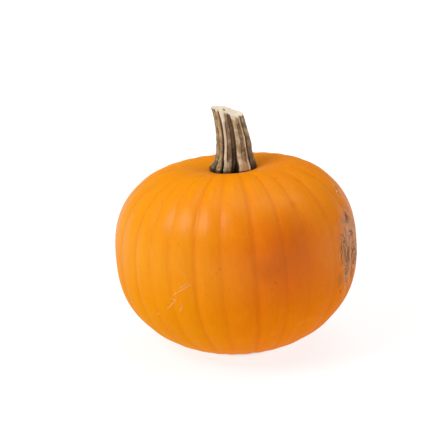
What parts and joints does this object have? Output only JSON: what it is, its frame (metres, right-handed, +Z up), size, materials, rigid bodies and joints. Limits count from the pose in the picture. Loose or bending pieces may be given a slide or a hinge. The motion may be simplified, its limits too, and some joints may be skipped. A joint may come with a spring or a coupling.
{
  "type": "pumpkin",
  "caption": "Round ribbed orange pumpkin with a short furrowed woody stem, standing on a small flat spot.",
  "frame": {"origin": "on the table under the middle of the fruit: the centre of the bounding box's underside", "axes": "+Z up along the stem, -Y is the front with the clearest grooves, +X is the fruit's right-hand side with the corky scar"},
  "size_m": [0.2412, 0.241, 0.2414],
  "materials": {
    "pumpkin_skin": "smooth waxy orange rind with a soft sheen, shallow grooves and a corky grey-brown scar on its right side",
    "dry_stem": "dry matte corky stem, tan ridges and dark brown furrows, with a pale cut top"
  },
  "bodies": {
    "root": {"fruit": "pumpkin_skin", "stem": "dry_stem"}
  },
  "joints": []
}
